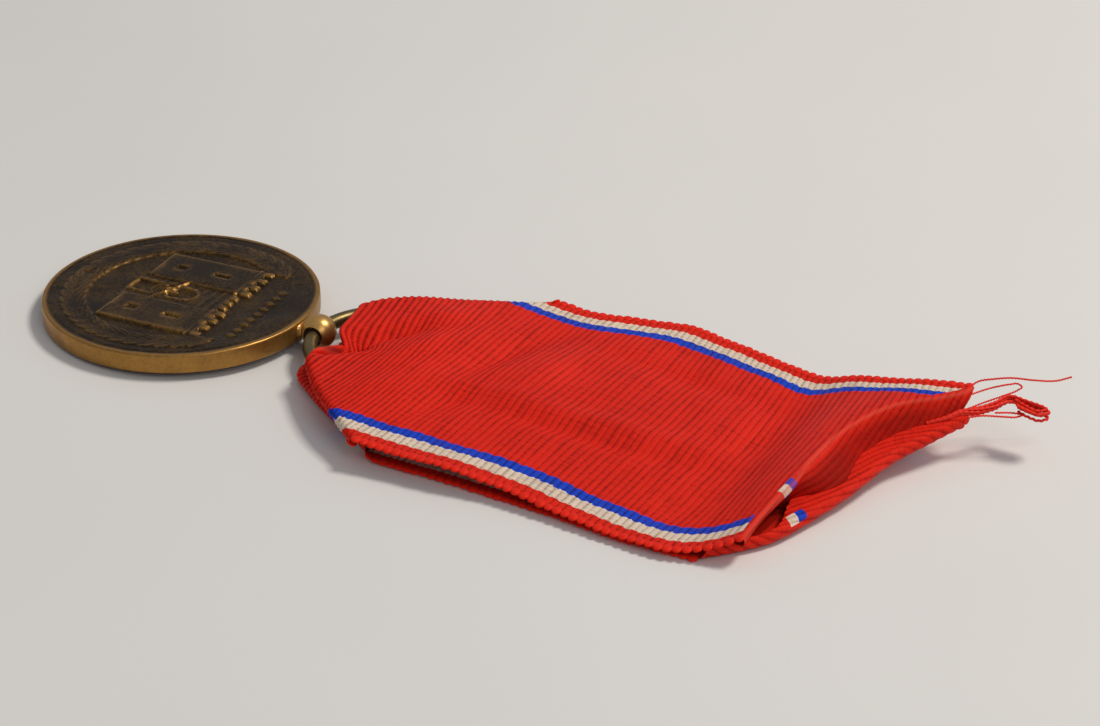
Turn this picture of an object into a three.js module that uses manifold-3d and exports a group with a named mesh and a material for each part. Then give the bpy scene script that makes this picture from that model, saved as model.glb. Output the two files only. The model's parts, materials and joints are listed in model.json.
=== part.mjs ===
// A round bronze service medal on its ribbon, as it lies when it is put down: the struck
// disc, the drilled ball soldered to its rim, the wire ring through the ball, and a wide
// striped ribbon doubled through the ring, with both ends turned in and fraying.
//
// Millimetres, +Z up. X runs from the disc to the ribbon's ends, Y across, and the lowest
// point is at Z = 0. The disc, ball, ring and gathered fold are drawn flat around the
// disc's centre and then tilted together, because the fold props up the ball's side.

import * as THREE from "three";
import { mergeVertices } from "three/addons/utils/BufferGeometryUtils.js";
import Module from "manifold-3d";

const wasm = await Module();
wasm.setup();

// Driving sizes.
const discDiameter = 27;
const discThickness = 1.95;
const rimWidth = 0.8;
const dishDepth = 0.45;
const rimRound = 0.2;
const ballDiameter = 3.4;
const seatWidth = 2.6;
const seatHeight = 1.5;
const wireDiameter = 1.4;
const ringOuterDiameter = 15.6;
const buttGap = 0.15;
const buttAngle = THREE.MathUtils.degToRad(35);
const ribbonWidth = 36;
const nearReach = 33.6;
const farReach = 44.8;
const farPinch = 5.6;
const clothThickness = 0.6;
const foldThickness = 0.8;
const underFold = 0.5;
const groundPleats = 0.95;
const fanHalfWidth = 15.4;
const hemLength = 5.4;
const middleGap = 0.6;
const hemGap = 0.5;
const cornerLift = 3.4;
const threadDiameter = 0.3;
const frayedDiameter = 0.8;

// Clearances.
const touch = 0.3;
const boreClearance = 0.2;
const ballTurn = THREE.MathUtils.degToRad(25);

// How finely the pieces are drawn.
const discSides = 60;
const ballSides = 24;
const ballRings = 14;
const boreSides = 20;
const wireSides = 10;
const wireSteps = 56;
const plugSides = 32;
const leafCells = 20;
const hemCells = 3;
const crossCells = 10;
const threadSteps = 14;
const threadSides = 6;
const sameCorner = 1e-4;

// Worked out from the sizes above.
const discRadius = discDiameter / 2;
const ballRadius = ballDiameter / 2;
const wireRadius = wireDiameter / 2;
const ringRadius = ringOuterDiameter / 2 - wireRadius;
const ballCentre = discRadius + ballRadius;
const ringCentre = ballCentre + ringRadius;
const outerArc = ringCentre + ringRadius;
const boreRadius = wireRadius + ballRadius ** 2 / (2 * ringRadius) + boreClearance;
const slotHalf = wireRadius + touch;

// How the medal lies: its far rim is on the table, and the other side is held up by the
// fold under the ring, or by the ball where that is the thicker of the two.
const foldHeight = groundPleats + underFold + slotHalf;
const ballHeight = ballRadius + touch / 2;
const ballShare = (discRadius + outerArc) / (discRadius + ballCentre);
const propAtBall = discThickness / 2 + (ballHeight - discThickness / 2) * ballShare;
const propHeight = Math.max(foldHeight, propAtBall);
const lean = Math.atan2(discThickness / 2, discRadius + outerArc);
const tilt = Math.asin(propHeight / Math.hypot(discRadius + outerArc, discThickness / 2)) - lean;
const discHeight = discRadius * Math.sin(tilt) + (discThickness / 2) * Math.cos(tilt);
const hingeX = outerArc * Math.cos(tilt);
const hingeZ = discHeight + outerArc * Math.sin(tilt);

const bronze = new THREE.MeshStandardMaterial({ color: 0x6b5030, roughness: 0.45, metalness: 0.9 });
const brightBronze = new THREE.MeshStandardMaterial({ color: 0x8a6a3c, roughness: 0.35, metalness: 0.9 });
const redSilk = new THREE.MeshStandardMaterial({ color: 0xc42a1e, roughness: 0.6, metalness: 0 });
const loomThread = new THREE.MeshStandardMaterial({ color: 0xb8221c, roughness: 0.7, metalness: 0 });

// A closed three.js geometry as a manifold solid, with its shared corners merged.
function solidOf(geometry) {
  const bare = geometry.clone();
  bare.deleteAttribute("normal");
  bare.deleteAttribute("uv");
  const merged = mergeVertices(bare, sameCorner);
  const vertProperties = merged.attributes.position.array;
  const triVerts = new Uint32Array(merged.index.array);
  return new wasm.Manifold(new wasm.Mesh({ numProp: 3, vertProperties, triVerts }));
}

function geometryOf(solid) {
  const { vertProperties, triVerts } = solid.getMesh();
  const geometry = new THREE.BufferGeometry();
  geometry.setAttribute("position", new THREE.BufferAttribute(vertProperties, 3));
  geometry.setIndex(new THREE.BufferAttribute(triVerts, 1));
  return geometry;
}

function named(name, geometry, material) {
  const mesh = new THREE.Mesh(geometry, material);
  mesh.name = name;
  return mesh;
}

const block = (x, y, z, sizeX, sizeY, sizeZ) =>
  solidOf(new THREE.BoxGeometry(sizeX, sizeY, sizeZ).translate(x, y, z));

// An upright round post, its middle at the given place.
const post = (x, z, radius, height, sides) =>
  solidOf(
    new THREE.CylinderGeometry(radius, radius, height, sides).rotateX(Math.PI / 2).translate(x, 0, z),
  );

const smooth = (value, low, high) => THREE.MathUtils.smoothstep(value, low, high);

// A flat plate of the outline's shape, from height low to height high.
function plate(points, low, high) {
  const shape = new THREE.Shape(points.map(([x, y]) => new THREE.Vector2(x, y)));
  const geometry = new THREE.ExtrudeGeometry(shape, { depth: high - low, bevelEnabled: false });
  return solidOf(geometry.translate(0, 0, low));
}

// The struck disc: a raised rim round a dished field on each face, and on the upper face
// a gate with two towers whose tops point to the ball.
function makeDisc() {
  const half = discThickness / 2;
  const field = discRadius - rimWidth;
  const dished = (radius) => half - dishDepth * (1 - (radius / field) ** 2);
  const steps = [0, 0.35, 0.65, 0.85, 1];
  const underside = steps.map((share) => new THREE.Vector2(field * share, -dished(field * share)));
  const upper = steps.map((share) => new THREE.Vector2(field * share, dished(field * share))).reverse();
  const edge = [
    new THREE.Vector2(discRadius - rimRound, -half),
    new THREE.Vector2(discRadius, -half + rimRound),
    new THREE.Vector2(discRadius, half - rimRound),
    new THREE.Vector2(discRadius - rimRound, half),
  ];
  const lathe = new THREE.LatheGeometry([...underside, ...edge, ...upper], discSides);
  let disc = solidOf(lathe.rotateX(Math.PI / 2));

  // Each step of the gate stands a little higher on the field than the one before.
  const fieldTop = half - dishDepth;
  const gateHeight = 0.35;
  const wallHeight = gateHeight * 0.6;
  const towerHeight = gateHeight * 0.8;
  const gateDepth = 0.5;
  const raised = (x, y, sizeX, sizeY, height) =>
    block(x, y, fieldTop + (height - gateDepth) / 2, sizeX, sizeY, gateDepth + height);
  const towerWidth = 3;
  const towerCentre = 3.9;
  const wallTop = 3.4;
  const towerTop = 5.2;
  const foot = -4.8;
  const merlon = 0.7;
  disc = disc.add(raised((wallTop + foot) / 2, 0, wallTop - foot, 2 * towerCentre, wallHeight));
  for (const side of [-1, 1]) {
    disc = disc.add(
      raised((towerTop + foot) / 2, side * towerCentre, towerTop - foot, towerWidth, towerHeight),
    );
    for (const step of [-1, 0, 1]) {
      const across = side * towerCentre + step * (towerWidth - merlon) / 2;
      disc = disc.add(raised(towerTop + merlon / 2, across, merlon, merlon, towerHeight));
    }
  }
  return named("medal_disc", geometryOf(disc), bronze);
}

// The drilled ball and the little seat that solders it to the rim.
function makeBall() {
  const round = new THREE.SphereGeometry(ballRadius, ballSides, ballRings);
  const sphere = solidOf(round.translate(ballCentre, 0, 0));
  const seat = block(ballCentre - ballRadius / 2, 0, 0, ballRadius, seatWidth, seatHeight);
  const drill = new THREE.CylinderGeometry(boreRadius, boreRadius, 2 * ballDiameter, boreSides);
  const bore = solidOf(drill.translate(ballCentre, 0, 0));
  const rim = post(0, 0, discRadius + touch, 2 * ballDiameter, discSides);
  const ball = sphere.add(seat).subtract(bore).subtract(rim);
  return named("suspension_ball", geometryOf(ball), brightBronze);
}

// The ring is one turn of wire whose ends meet in a butt joint under the ribbon.
function makeRing() {
  const turn = solidOf(new THREE.TorusGeometry(ringRadius, wireRadius, wireSides, wireSteps));
  const joint = new THREE.BoxGeometry(2 * wireDiameter, buttGap, 2 * wireDiameter)
    .translate(ringRadius, 0, 0)
    .rotateZ(buttAngle);
  const ring = turn.subtract(solidOf(joint)).translate([ringCentre, 0, 0]);
  return named("suspension_ring", geometryOf(ring), brightBronze);
}

// The gathered fold: a plug of bunched cloth in the ring's hole joins a layer that runs out
// over the wire to one that runs out under it. Both leave the ball its way round the ring.
function makeFold() {
  const plugRadius = ringRadius - ballRadius - touch;
  const ballHalfAngle = Math.asin((ballRadius + touch) / ringRadius);
  const shoulderAngle = ballTurn + ballHalfAngle;
  const shoulderRadius = ringOuterDiameter / 2;
  const steps = 6;
  const outline = [];
  for (let step = 0; step <= steps; step += 1) {
    const angle = shoulderAngle * (1 - (2 * step) / steps);
    outline.push([ringCentre - plugRadius * Math.cos(angle), plugRadius * Math.sin(angle)]);
  }
  const shoulder = (side) => [
    ringCentre - shoulderRadius * Math.cos(shoulderAngle),
    side * shoulderRadius * Math.sin(shoulderAngle),
  ];
  const end = outerArc + ballRadius / 2;
  outline.push(shoulder(-1), [end, -fanHalfWidth], [end, fanHalfWidth], shoulder(1));
  const above = plate(outline, slotHalf, slotHalf + foldThickness);
  const below = plate(outline, -slotHalf - underFold, -slotHalf);
  const plugHeight = 2 * slotHalf + underFold + foldThickness;
  const plug = post(ringCentre, (foldThickness - underFold) / 2, plugRadius, plugHeight, plugSides);
  return named("ribbon_fold", geometryOf(above.add(below).add(plug)), redSilk);
}

// The two leaves start clear of the fold's swing about the ring's outer wire. A place on a
// leaf is given by its share along (0 at the ring, 1 at the end) and across (0 near, 1 far).
const foldSwing = Math.hypot(ballRadius / 2, slotHalf + foldThickness) + touch;
const leafStart = hingeX + foldSwing;
const halfWidth = ribbonWidth / 2;

function planOf(along, across) {
  const reach = THREE.MathUtils.lerp(nearReach, farReach, across);
  const far = halfWidth - farPinch * smooth(along, 0.45, 1);
  return [leafStart + along * reach, THREE.MathUtils.lerp(-halfWidth, far, across)];
}

// The far corner of the ends stands off the table, and the rest of the back leaf lies on it.
const backUnderside = (along, across) => cornerLift * smooth(along, 0.6, 1) * smooth(across, 0.3, 1);

// The front leaf comes down from the top of the ring, lies close over the back leaf, and is
// lifted again at the end by the two turned-in hems between them.
function frontUnderside(along, across) {
  const atRing = hingeZ + slotHalf - clothThickness - middleGap;
  const atHems = 2 * (clothThickness + touch) + hemGap - middleGap;
  const lift = atRing * (1 - smooth(along, 0.05, 0.5)) + atHems * smooth(along, 0.55, 0.8);
  return backUnderside(along, across) + clothThickness + middleGap + lift;
}

const backHemUnderside = (along, across) => backUnderside(along, across) + clothThickness + touch;
const frontHemUnderside = (along, across) => frontUnderside(along, across) - clothThickness - touch;

// A layer of cloth with its underside at the given height all over.
function makeLayer(name, undersideAt, alongStart, alongEnd, cells) {
  const geometry = new THREE.BoxGeometry(1, 1, 1, cells, crossCells, 1);
  const place = geometry.attributes.position;
  for (let index = 0; index < place.count; index += 1) {
    const along = THREE.MathUtils.lerp(alongStart, alongEnd, place.getX(index) + 0.5);
    const across = place.getY(index) + 0.5;
    const [x, y] = planOf(along, across);
    const through = clothThickness * (place.getZ(index) + 0.5);
    place.setXYZ(index, x, y, undersideAt(along, across) + through);
  }
  return named(name, geometryOf(solidOf(geometry)), redSilk);
}

const hemStart = 1 - hemLength / farReach;
const hemEnd = 1 - touch / farReach;
const makeHem = (name, undersideAt) => makeLayer(name, undersideAt, hemStart, hemEnd, hemCells);
const makeLeaf = (name, undersideAt) => makeLayer(name, undersideAt, 0, 1, leafCells);

// The loose threads start just outside the far corner. Their points are measured from it.
const looseThreads = {
  long_loose_thread: {
    diameter: threadDiameter,
    route: [
      [0.5, 0.6, 2.3], [0.8, 2.1, 2.8], [2.2, 2.9, 2.9],
      [4.2, 3.7, 2.8], [6, 5, 2.6], [7.1, 6, 2.8],
    ],
  },
  hairpin_thread: {
    diameter: threadDiameter,
    route: [
      [0.6, 0.9, 1.9], [1.1, 2.1, 2], [2.2, 3.4, 2], [2.8, 3.9, 2],
      [3.2, 3.6, 1.9], [3, 3, 1.8], [2, 1.6, 1.7],
    ],
  },
  frayed_bundle: {
    diameter: frayedDiameter,
    route: [
      [0.8, -1.2, 1], [1.7, 0.1, 1.1], [2.2, 1, 1.2], [3, 1.6, 1.3],
      [4.2, 1.7, 1.2], [5.7, 1.4, 1.1], [6.4, 1.2, 1],
    ],
  },
  low_loose_thread: {
    diameter: threadDiameter,
    route: [
      [0.6, -2.4, 0.4], [1.6, -1.6, 0.4], [2.7, -0.8, 0.3],
      [3.8, -0.1, 0.3], [4.4, 0.5, 0.3], [4, 0.8, 0.3],
    ],
  },
};

function makeThread(name, { diameter, route }) {
  const [cornerX, cornerY] = planOf(1, 1);
  const corner = new THREE.Vector3(cornerX, cornerY, cornerLift);
  const points = route.map((point) => new THREE.Vector3(...point).add(corner));
  const section = new THREE.Shape().absarc(0, 0, diameter / 2, 0, 2 * Math.PI);
  const geometry = new THREE.ExtrudeGeometry(section, {
    steps: threadSteps,
    curveSegments: threadSides,
    extrudePath: new THREE.CatmullRomCurve3(points),
  });
  return named(name, geometryOf(solidOf(geometry)), loomThread);
}

const tilted = new THREE.Group();
tilted.add(makeDisc(), makeBall(), makeRing(), makeFold());
tilted.rotation.y = -tilt;
tilted.position.z = discHeight;

const medal = new THREE.Group();
medal.add(
  tilted,
  makeLeaf("ribbon_back_leaf", backUnderside),
  makeHem("back_hem", backHemUnderside),
  makeHem("front_hem", frontHemUnderside),
  makeLeaf("ribbon_front_leaf", frontUnderside),
  ...Object.entries(looseThreads).map(([name, thread]) => makeThread(name, thread)),
);

// The origin is the middle of the whole footprint, on the table.
const extent = new THREE.Box3().setFromObject(medal, true);
const middle = extent.getCenter(new THREE.Vector3());
medal.position.set(-middle.x, -middle.y, -extent.min.z);

export default medal;
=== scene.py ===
import json
import math

import bpy
import numpy as np
from mathutils import Matrix, Vector


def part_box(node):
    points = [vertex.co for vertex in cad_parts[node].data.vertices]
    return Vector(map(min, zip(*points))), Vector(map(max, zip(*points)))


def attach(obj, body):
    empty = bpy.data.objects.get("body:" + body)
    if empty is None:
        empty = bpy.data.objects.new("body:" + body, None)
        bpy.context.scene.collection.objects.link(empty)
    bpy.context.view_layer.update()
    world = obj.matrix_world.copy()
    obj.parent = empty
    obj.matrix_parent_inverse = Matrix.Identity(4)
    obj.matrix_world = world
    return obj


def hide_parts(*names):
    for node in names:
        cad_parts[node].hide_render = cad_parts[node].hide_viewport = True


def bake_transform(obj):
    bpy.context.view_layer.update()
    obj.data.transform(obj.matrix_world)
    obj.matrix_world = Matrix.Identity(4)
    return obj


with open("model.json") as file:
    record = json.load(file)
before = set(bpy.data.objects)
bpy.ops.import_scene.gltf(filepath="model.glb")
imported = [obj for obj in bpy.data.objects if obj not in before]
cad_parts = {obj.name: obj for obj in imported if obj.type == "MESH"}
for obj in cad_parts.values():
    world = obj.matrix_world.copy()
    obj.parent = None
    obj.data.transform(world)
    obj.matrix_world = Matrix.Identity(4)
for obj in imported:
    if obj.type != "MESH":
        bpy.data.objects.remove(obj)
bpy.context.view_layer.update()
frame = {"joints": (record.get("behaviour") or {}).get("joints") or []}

# A bronze service medal lying down: disc, drilled ball, wire ring and a doubled ribbon.
# Shapes are worked out in millimetres and turned into metres when a mesh is made.
mm = 0.001
joints = {joint["name"]: joint for joint in frame["joints"]}


def hexColour(red, green, blue):
    linear = [((c / 255 + 0.055) / 1.055) ** 2.4 if c > 10 else c / 255 / 12.92 for c in (red, green, blue)]
    return (*linear, 1.0)


# Places taken from the frame.

def jointPlace(name):
    return np.array(joints[name]["pos_m"]) / mm


ringPlace = jointPlace("ring_turn")
ballPlace = jointPlace("medal_swing")
discLow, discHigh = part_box("medal_disc")
home = np.array([(discLow.x + discHigh.x) / 2, (discLow.y + discHigh.y) / 2, 0.0]) / mm

# The disc, ball and ring lie in one plane, tipped up a little towards the ribbon.
facing = np.array(joints["ring_turn"]["axis"])
uphill = np.array([facing[2], 0.0, -facing[0]])
across = np.array([0.0, 1.0, 0.0])
ringRadius = float(np.linalg.norm(ringPlace - ballPlace))


def onMedal(points, centre):
    points = np.asarray(points, float)
    return centre + points[..., :1] * uphill + points[..., 1:2] * across + points[..., 2:3] * facing


# Tools for meshes, curves and nodes.

def makePiece(name, points, faces, edges=(), values=None, material=None):
    mesh = bpy.data.meshes.new(name)
    place = np.asarray(points, float).reshape(-1, 3) * mm
    mesh.from_pydata(place.tolist(), [list(edge) for edge in edges], [list(face) for face in faces])
    for key, value in (values or {}).items():
        value = np.asarray(value, np.float32)
        kind, field = ("FLOAT", "value") if value.ndim == 1 else ("FLOAT_VECTOR", "vector")
        mesh.attributes.new(key, kind, "POINT").data.foreach_set(field, value.ravel())
    mesh.polygons.foreach_set("use_smooth", [True] * len(mesh.polygons))
    if material is not None:
        mesh.materials.append(material)
    mesh.update()
    piece = bpy.data.objects.new(name, mesh)
    bpy.context.scene.collection.objects.link(piece)
    return piece


def gridFaces(rows, columns, wrap=False):
    number = np.arange(rows * columns).reshape(rows, columns)
    if wrap:
        number = np.concatenate([number, number[:, :1]], axis=1)
    corners = [number[:-1, :-1], number[1:, :-1], number[1:, 1:], number[:-1, 1:]]
    return np.stack(corners, axis=-1).reshape(-1, 4)


def bakeModifiers(piece):
    graph = bpy.context.evaluated_depsgraph_get()
    made = bpy.data.meshes.new_from_object(
        piece.evaluated_get(graph), preserve_all_data_layers=True, depsgraph=graph
    )
    piece.modifiers.clear()
    piece.data = made
    made.polygons.foreach_set("use_smooth", [True] * len(made.polygons))
    return piece


def ease(value, low, high):
    share = np.clip((value - low) / (high - low), 0, 1)
    return share * share * (3 - 2 * share)


def through(places, heights, at):
    # a smooth curve through a few points, straight on beyond its ends
    places, heights = np.asarray(places, float), np.asarray(heights, float)
    slopes = np.gradient(heights, places, axis=0)
    step = np.clip(np.searchsorted(places, at) - 1, 0, len(places) - 2)
    gap = places[step + 1] - places[step]
    share = (at - places[step]) / gap
    if heights.ndim > 1:
        gap, share = gap[:, None], share[:, None]
    inside = np.clip(share, 0, 1)
    extra = (share - inside) * gap
    low, high = heights[step], heights[step + 1]
    slopeLow, slopeHigh = slopes[step] * gap, slopes[step + 1] * gap
    square, cube = inside**2, inside**3
    curve = (2 * cube - 3 * square + 1) * low + (cube - 2 * square + inside) * slopeLow
    curve = curve + (3 * square - 2 * cube) * high + (cube - square) * slopeHigh
    return curve + extra * np.where(share > 1, slopeHigh, slopeLow) / gap


def addNode(tree, kind, inputs=None, **settings):
    node = tree.nodes.new(kind)
    for key, value in settings.items():
        setattr(node, key, value)
    for key, value in (inputs or {}).items():
        if isinstance(value, bpy.types.NodeSocket):
            tree.links.new(value, node.inputs[key])
        else:
            node.inputs[key].default_value = value
    return node


def calc(tree, operation, first, second=0.0):
    node = addNode(tree, "ShaderNodeMath", operation=operation)
    for key, value in enumerate((first, second)):
        if isinstance(value, bpy.types.NodeSocket):
            tree.links.new(value, node.inputs[key])
        else:
            node.inputs[key].default_value = value
    return node.outputs[0]


# Effects that several materials share.

def newGroup(name, inputs, outputs):
    tree = bpy.data.node_groups.new(name, "ShaderNodeTree")
    for key, value in inputs.items():
        socket = tree.interface.new_socket(key, in_out="INPUT", socket_type="NodeSocketFloat")
        socket.default_value = value
    for key in outputs:
        tree.interface.new_socket(key, in_out="OUTPUT", socket_type="NodeSocketFloat")
    return tree, tree.nodes.new("NodeGroupInput").outputs, tree.nodes.new("NodeGroupOutput").inputs


def makePatinaGroup():
    # how bronze darkens in its hollows and is rubbed bright where it is handled
    tree, given, result = newGroup(
        "bronze patina", {"Grain Size": 0.5, "Rubbed": 0.0, "Unevenness": 0.5},
        ("Bright", "Roughness", "Height"),
    )
    place = tree.nodes.new("ShaderNodeTexCoord").outputs["Object"]
    scale = calc(tree, "DIVIDE", 1 / mm, given["Grain Size"])
    cloud = addNode(
        tree, "ShaderNodeTexNoise", {"Vector": place, "Scale": 260.0, "Detail": 5.0, "Roughness": 0.6}
    )
    grain = addNode(
        tree, "ShaderNodeTexNoise", {"Vector": place, "Scale": scale, "Detail": 4.0, "Roughness": 0.7}
    )
    pitScale = calc(tree, "MULTIPLY", scale, 1.7)
    pits = addNode(tree, "ShaderNodeTexVoronoi", {"Vector": place, "Scale": pitScale})
    swing = calc(tree, "MULTIPLY", calc(tree, "SUBTRACT", cloud.outputs[0], 0.5), given["Unevenness"])
    fine = calc(tree, "MULTIPLY", calc(tree, "SUBTRACT", grain.outputs[0], 0.5), 0.6)
    bright = calc(tree, "ADD", calc(tree, "ADD", given["Rubbed"], swing), fine)
    clamped = addNode(tree, "ShaderNodeClamp", {"Value": bright})
    tree.links.new(clamped.outputs[0], result["Bright"])
    rough = calc(tree, "ADD", calc(tree, "MULTIPLY", grain.outputs[0], 0.3), 0.28)
    rough = calc(tree, "SUBTRACT", rough, calc(tree, "MULTIPLY", clamped.outputs[0], 0.1))
    tree.links.new(rough, result["Roughness"])
    pitted = calc(tree, "MULTIPLY", calc(tree, "LESS_THAN", pits.outputs["Distance"], 0.16), -0.5)
    tree.links.new(calc(tree, "ADD", grain.outputs[0], pitted), result["Height"])
    return tree


patina = makePatinaGroup()


def newMaterial(name):
    material = bpy.data.materials.new(name)
    material.use_nodes = True
    tree = material.node_tree
    tree.nodes.clear()
    surface = tree.nodes.new("ShaderNodeBsdfPrincipled")
    end = tree.nodes.new("ShaderNodeOutputMaterial")
    tree.links.new(surface.outputs[0], end.inputs["Surface"])
    return material, tree, surface


def mixColour(tree, share, first, second):
    node = addNode(tree, "ShaderNodeMix", data_type="RGBA", blend_type="MIX")
    for socket, value in ((node.inputs[0], share), (node.inputs[6], first), (node.inputs[7], second)):
        if isinstance(value, bpy.types.NodeSocket):
            tree.links.new(value, socket)
        else:
            socket.default_value = value
    return node.outputs[2]


def makeBronze(name, look):
    material, tree, surface = newMaterial(name)
    rubbed = addNode(tree, "ShaderNodeAttribute", attribute_name="rubbed")
    amount = calc(tree, "ADD", calc(tree, "MULTIPLY", rubbed.outputs["Fac"], look["wear"]), look["base"])
    wear = addNode(tree, "ShaderNodeGroup", node_tree=patina)
    wear.inputs["Grain Size"].default_value = look["grain"]
    wear.inputs["Unevenness"].default_value = look["uneven"]
    tree.links.new(amount, wear.inputs["Rubbed"])
    colour = mixColour(tree, wear.outputs["Bright"], look["dark"], look["bright"])
    tree.links.new(colour, surface.inputs["Base Color"])
    tree.links.new(wear.outputs["Roughness"], surface.inputs["Roughness"])
    surface.inputs["Metallic"].default_value = look["metal"]
    bump = addNode(
        tree, "ShaderNodeBump",
        {"Height": wear.outputs["Height"], "Strength": look["bump"], "Distance": 0.02 * mm},
    )
    tree.links.new(bump.outputs[0], surface.inputs["Normal"])
    return material


# Floor, light and camera.

stageLook = dict(
    floorSize=1.8,
    floor=hexColour(232, 229, 224),
    floorShade=hexColour(222, 220, 216),
    sky=(0.86, 0.88, 0.95, 1.0),
    skyStrength=0.34,
    keyPower=2.05,
    keySize=0.14,
    keyDistance=0.6,
    keyAzimuth=40.0,
    keyElevation=58.0,
    keyColour=(1.0, 0.95, 0.87),
    fillPower=0.42,
    fillSize=0.25,
    fillAzimuth=-38.0,
    fillElevation=40.0,
    fillColour=(1.0, 1.0, 1.0),
)

cameraLook = dict(
    azimuth=23.01, elevation=28.43, roll=2.80, distance=258.13, lens=88.0, aim=(0.782, 8.020, 0.0),
)


def lampPlace(azimuth, elevation, distance):
    turn, rise = math.radians(azimuth), math.radians(elevation)
    flat = math.cos(rise)
    return Vector((math.cos(turn) * flat, math.sin(turn) * flat, math.sin(rise))) * distance


def makeAreaLight(name, power, size, azimuth, elevation, distance, colour):
    data = bpy.data.lights.new(name, "AREA")
    data.energy, data.size, data.color = power, size, colour
    lamp = bpy.data.objects.new(name, data)
    lamp.location = lampPlace(azimuth, elevation, distance)
    lamp.rotation_euler = (-lamp.location).to_track_quat("-Z", "Y").to_euler()
    bpy.context.scene.collection.objects.link(lamp)


def makeStage(look):
    material, tree, surface = newMaterial("pale paper")
    place = tree.nodes.new("ShaderNodeTexCoord").outputs["Object"]
    broad = addNode(tree, "ShaderNodeTexNoise", {"Vector": place, "Scale": 14.0, "Detail": 3.0})
    fibre = addNode(tree, "ShaderNodeTexNoise", {"Vector": place, "Scale": 900.0, "Detail": 4.0})
    shade = mixColour(tree, broad.outputs[0], look["floor"], look["floorShade"])
    tree.links.new(shade, surface.inputs["Base Color"])
    surface.inputs["Roughness"].default_value = 0.85
    bump = addNode(
        tree, "ShaderNodeBump", {"Height": fibre.outputs[0], "Strength": 0.15, "Distance": 0.05 * mm}
    )
    tree.links.new(bump.outputs[0], surface.inputs["Normal"])
    half = look["floorSize"] / 2 / mm
    corners = [(-half, -half, 0), (half, -half, 0), (half, half, 0), (-half, half, 0)]
    floor = makePiece("floor", corners, [(0, 1, 2, 3)], material=material)

    world = bpy.data.worlds.new("studio")
    world.use_nodes = True
    background = world.node_tree.nodes["Background"]
    background.inputs["Color"].default_value = look["sky"]
    background.inputs["Strength"].default_value = look["skyStrength"]
    bpy.context.scene.world = world
    makeAreaLight(
        "key", look["keyPower"], look["keySize"], look["keyAzimuth"], look["keyElevation"],
        look["keyDistance"], look["keyColour"],
    )
    makeAreaLight(
        "fill", look["fillPower"], look["fillSize"], look["fillAzimuth"], look["fillElevation"],
        look["keyDistance"], look["fillColour"],
    )
    bpy.context.scene.view_settings.view_transform = "Standard"


def makeCamera(look):
    turn, rise = math.radians(look["azimuth"]), math.radians(look["elevation"])
    back = Vector((math.sin(turn) * math.cos(rise), -math.cos(turn) * math.cos(rise), math.sin(rise)))
    right = Vector((math.cos(turn), math.sin(turn), 0))
    up = back.cross(right)
    roll = math.radians(look["roll"])
    sideways = math.cos(roll) * right + math.sin(roll) * up
    upright = math.cos(roll) * up - math.sin(roll) * right
    data = bpy.data.cameras.new("camera")
    data.lens, data.sensor_width, data.sensor_fit = look["lens"], 36.0, "HORIZONTAL"
    data.clip_start, data.clip_end = 0.01, 10.0
    camera = bpy.data.objects.new("camera", data)
    place = Vector(look["aim"]) * mm + back * look["distance"] * mm
    rows = Matrix((sideways, upright, back)).transposed().to_4x4()
    camera.matrix_world = Matrix.Translation(place) @ rows
    bpy.context.scene.collection.objects.link(camera)
    bpy.context.scene.camera = camera


makeStage(stageLook)
makeCamera(cameraLook)
print("stage: floor, lights and camera")


# The struck disc. Its x runs towards the ball, its y across, in millimetres from its middle.

discShape = dict(
    cells=200, diameter=27.0, thickness=1.95, rimRound=0.2, rimWidth=0.75, dish=0.4, edge=0.22,
    gateFoot=-5.6, gateTop=5.4, towerTop=5.9, towerIn=2.1, towerOut=7.4, wall=0.2, tower=0.34, merlons=4,
    course=1.05, stone=1.5,
    archHalf=1.25, archTop=0.4, branchRadius=10.4, branchEnd=52.0, leaves=17, leafLength=3.2, leafWidth=0.62,
    leafHeight=0.26, pelletRow=8.9, pellets=9, pelletPitch=1.25, rubbing=5.0, wallRubbed=0.85,
    spray=((-38, 3.4), (-18, 2.6), (8, 3.0), (30, 2.6), (52, 3.2)),   # heading and length of each leaf
    starRadius=2.5, starSlope=2.4, starHeight=0.42,
)

discLook = dict(
    dark=hexColour(50, 35, 15), bright=hexColour(206, 152, 76), wear=0.66, base=0.04, grain=0.35, uneven=0.45,
    metal=0.8, bump=0.35,
)


def raised(distance, edge):
    return ease(-distance, -edge / 2, edge / 2)


def rectangle(x, y, lowX, highX, lowY, highY):
    # how far a place lies outside a rectangle, below zero inside it
    outX = np.abs(x - (lowX + highX) / 2) - (highX - lowX) / 2
    outY = np.abs(y - (lowY + highY) / 2) - (highY - lowY) / 2
    return np.maximum(outX, outY)


def leafHeight(x, y, centreX, centreY, angle, length, width):
    along = (x - centreX) * math.cos(angle) + (y - centreY) * math.sin(angle)
    side = (y - centreY) * math.cos(angle) - (x - centreX) * math.sin(angle)
    share = np.clip(along / length + 0.5, 0, 1)
    half = width * np.sin(math.pi * share**0.8) + 1e-6
    crown = np.clip(1 - np.abs(side) / half, 0, 1)
    vein = 1 - 0.45 * np.exp(-((side / 0.09) ** 2))
    return np.sqrt(crown) * vein * (np.abs(along) < length / 2)


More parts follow.
